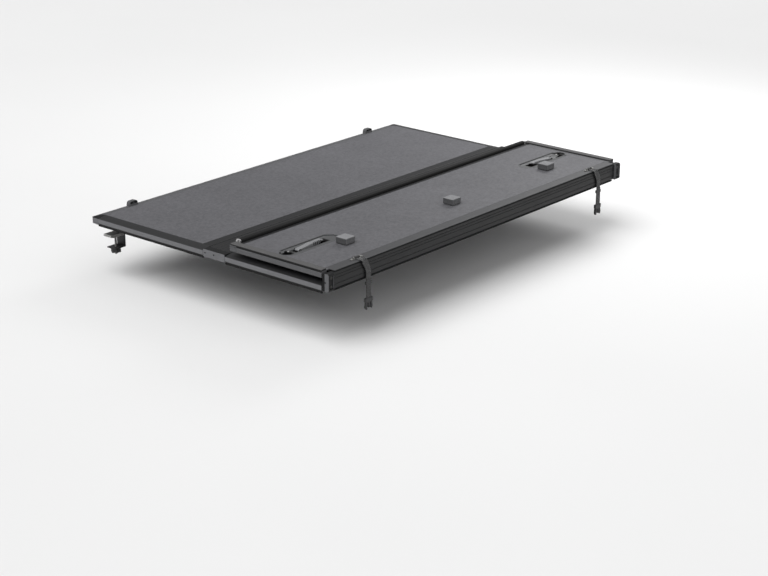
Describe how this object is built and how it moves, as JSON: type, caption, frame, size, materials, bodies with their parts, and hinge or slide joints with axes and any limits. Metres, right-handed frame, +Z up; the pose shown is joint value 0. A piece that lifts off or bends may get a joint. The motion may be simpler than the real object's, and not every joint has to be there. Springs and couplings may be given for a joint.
{
  "type": "tonneau cover",
  "caption": "Hard tri-fold tonneau cover for a pickup bed, half folded, with grained panels in black rails, ribbed hinges, flush clamps, rubber bumpers and tie-down straps.",
  "frame": {"origin": "middle of the flat sole of the bulkhead seal, where the cover rests on the front wall of the bed", "axes": "+X across the truck to the passenger side, +Y towards the cab, +Z up"},
  "size_m": [1.76, 1.1806, 0.217],
  "materials": {
    "panel_skin": "fine leather grain, matt",
    "rail": "satin black powder coat",
    "tray_plastic": "satin moulded",
    "clamp_metal": "die cast, matt",
    "casting": "satin moulded",
    "seal_rubber": "matt",
    "bumper_foam": "matt, fine grain",
    "black_plastic": "satin",
    "lever_plastic": "satin",
    "steel": "bright zinc plate",
    "webbing": "woven polyester"
  },
  "bodies": {
    "front_panel": {"front_panel_core": "panel_skin", "front_side_rail_left": "rail", "front_side_rail_right": "rail", "front_side_seal_left": "seal_rubber", "front_side_seal_right": "seal_rubber", "front_cab_rail": "rail", "front_hinge_rail": "rail", "front_corner_casting_left": "casting", "front_corner_casting_right": "casting", "bulkhead_seal": "seal_rubber", "strap_catch_left": "black_plastic", "strap_catch_right": "black_plastic", "front_clamp_bracket_left": "steel", "front_clamp_bracket_right": "steel"},
    "front_hinge": {"front_hinge_strip": "rail", "front_hinge_end_casting_left": "casting", "front_hinge_end_casting_right": "casting"},
    "middle_panel": {"middle_panel_core": "panel_skin", "middle_side_rail_left": "rail", "middle_side_rail_right": "rail", "middle_side_seal_left": "seal_rubber", "middle_side_seal_right": "seal_rubber", "middle_front_hinge_rail": "rail", "middle_rear_hinge_rail": "rail"},
    "rear_hinge": {"rear_hinge_strip": "rail", "rear_hinge_end_casting_left": "casting", "rear_hinge_end_casting_right": "casting"},
    "rear_panel": {"rear_panel_core": "panel_skin", "rear_side_rail_left": "rail", "rear_side_rail_right": "rail", "rear_side_seal_left": "seal_rubber", "rear_side_seal_right": "seal_rubber", "rear_hinge_rail": "rail", "rear_tail_rail": "rail", "rear_corner_casting_left": "casting", "rear_corner_casting_right": "casting", "tail_seal": "seal_rubber", "bumper_left": "bumper_foam", "bumper_middle": "bumper_foam", "bumper_right": "bumper_foam", "rear_clamp_tray_left": "tray_plastic", "rear_clamp_tray_right": "tray_plastic", "strap_anchor_left": "steel", "strap_anchor_right": "steel"},
    "rear_clamp_arm_left": {"rear_clamp_arm_left": "clamp_metal"},
    "rear_clamp_lever_left": {"rear_clamp_lever_left": "lever_plastic"},
    "strap_root_left": {"strap_root_left": "webbing"},
    "strap_tail_left": {"strap_tail_left": "webbing", "strap_slider_left": "black_plastic", "strap_buckle_left": "black_plastic"},
    "front_clamp_jaw_left": {"front_clamp_jaw_left": "steel"},
    "front_clamp_knob_left": {"front_clamp_knob_left": "black_plastic"},
    "rear_clamp_arm_right": {"rear_clamp_arm_right": "clamp_metal"},
    "rear_clamp_lever_right": {"rear_clamp_lever_right": "lever_plastic"},
    "strap_root_right": {"strap_root_right": "webbing"},
    "strap_tail_right": {"strap_tail_right": "webbing", "strap_slider_right": "black_plastic", "strap_buckle_right": "black_plastic"},
    "front_clamp_jaw_right": {"front_clamp_jaw_right": "steel"},
    "front_clamp_knob_right": {"front_clamp_knob_right": "black_plastic"}
  },
  "joints": [
    {"name": "front_fold", "type": "hinge", "parent": "front_panel", "child": "front_hinge", "pos_m": [0, -0.5793, 0.0285], "axis": [1, 0, 0], "range_deg": [-90, 0]},
    {"name": "front_fold_upper", "type": "hinge", "parent": "front_hinge", "child": "middle_panel", "pos_m": [0, -0.6633, 0.0285], "axis": [1, 0, 0], "range_deg": [-90, 0]},
    {"name": "rear_fold", "type": "hinge", "parent": "middle_panel", "child": "rear_hinge", "pos_m": [0, -1.1416, 0.0245], "axis": [1, 0, 0], "range_deg": [0, 90]},
    {"name": "rear_fold_upper", "type": "hinge", "parent": "rear_hinge", "child": "rear_panel", "pos_m": [0, -1.1416, 0.0605], "axis": [1, 0, 0], "range_deg": [0, 90]},
    {"name": "rear_clamp_swing_left", "type": "hinge", "parent": "rear_panel", "child": "rear_clamp_arm_left", "pos_m": [-0.8, -0.9031, 0.069], "axis": [0, -1, 0], "range_deg": [0, 95]},
    {"name": "rear_clamp_lever_lift_left", "type": "hinge", "parent": "rear_clamp_arm_left", "child": "rear_clamp_lever_left", "pos_m": [-0.752, -0.9031, 0.072], "axis": [0, -1, 0], "range_deg": [0, 45]},
    {"name": "strap_hang_left", "type": "hinge", "parent": "rear_panel", "child": "strap_root_left", "pos_m": [-0.702, -1.1281, 0.0845], "axis": [1, 0, 0], "range_deg": [-180, 0]},
    {"name": "strap_bend_left", "type": "hinge", "parent": "strap_root_left", "child": "strap_tail_left", "pos_m": [-0.702, -1.1491, 0.0809], "axis": [1, 0, 0], "range_deg": [-85, 0]},
    {"name": "front_clamp_jaw_rise_left", "type": "slide", "parent": "front_panel", "child": "front_clamp_jaw_left", "axis": [0, 0, 1], "range_m": [-0.02, 0]},
    {"name": "front_clamp_knob_turn_left", "type": "hinge", "parent": "front_panel", "child": "front_clamp_knob_left", "pos_m": [-0.83, -0.055, -0.0955], "axis": [0, 0, 1], "range_deg": [-1440, 0]},
    {"name": "rear_clamp_swing_right", "type": "hinge", "parent": "rear_panel", "child": "rear_clamp_arm_right", "pos_m": [0.8, -0.9031, 0.069], "axis": [0, 1, 0], "range_deg": [0, 95]},
    {"name": "rear_clamp_lever_lift_right", "type": "hinge", "parent": "rear_clamp_arm_right", "child": "rear_clamp_lever_right", "pos_m": [0.752, -0.9031, 0.072], "axis": [0, 1, 0], "range_deg": [0, 45]},
    {"name": "strap_hang_right", "type": "hinge", "parent": "rear_panel", "child": "strap_root_right", "pos_m": [0.702, -1.1281, 0.0845], "axis": [1, 0, 0], "range_deg": [-180, 0]},
    {"name": "strap_bend_right", "type": "hinge", "parent": "strap_root_right", "child": "strap_tail_right", "pos_m": [0.702, -1.1491, 0.0809], "axis": [1, 0, 0], "range_deg": [-85, 0]},
    {"name": "front_clamp_jaw_rise_right", "type": "slide", "parent": "front_panel", "child": "front_clamp_jaw_right", "axis": [0, 0, 1], "range_m": [-0.02, 0]},
    {"name": "front_clamp_knob_turn_right", "type": "hinge", "parent": "front_panel", "child": "front_clamp_knob_right", "pos_m": [0.83, -0.055, -0.0955], "axis": [0, 0, 1], "range_deg": [-1440, 0]}
  ],
  "couplings": [
    {"joint": "front_fold_upper", "follows": "front_fold", "ratio": 1},
    {"joint": "rear_fold_upper", "follows": "rear_fold", "ratio": 1},
    {"joint": "strap_hang_left", "follows": "rear_fold", "ratio": -2},
    {"joint": "strap_bend_left", "follows": "front_fold", "ratio": 0.9444},
    {"joint": "front_clamp_knob_turn_left", "follows": "front_clamp_jaw_rise_left", "rad_per_m": 1256},
    {"joint": "strap_hang_right", "follows": "rear_fold", "ratio": -2},
    {"joint": "strap_bend_right", "follows": "front_fold", "ratio": 0.9444},
    {"joint": "front_clamp_knob_turn_right", "follows": "front_clamp_jaw_rise_right", "rad_per_m": 1256}
  ]
}
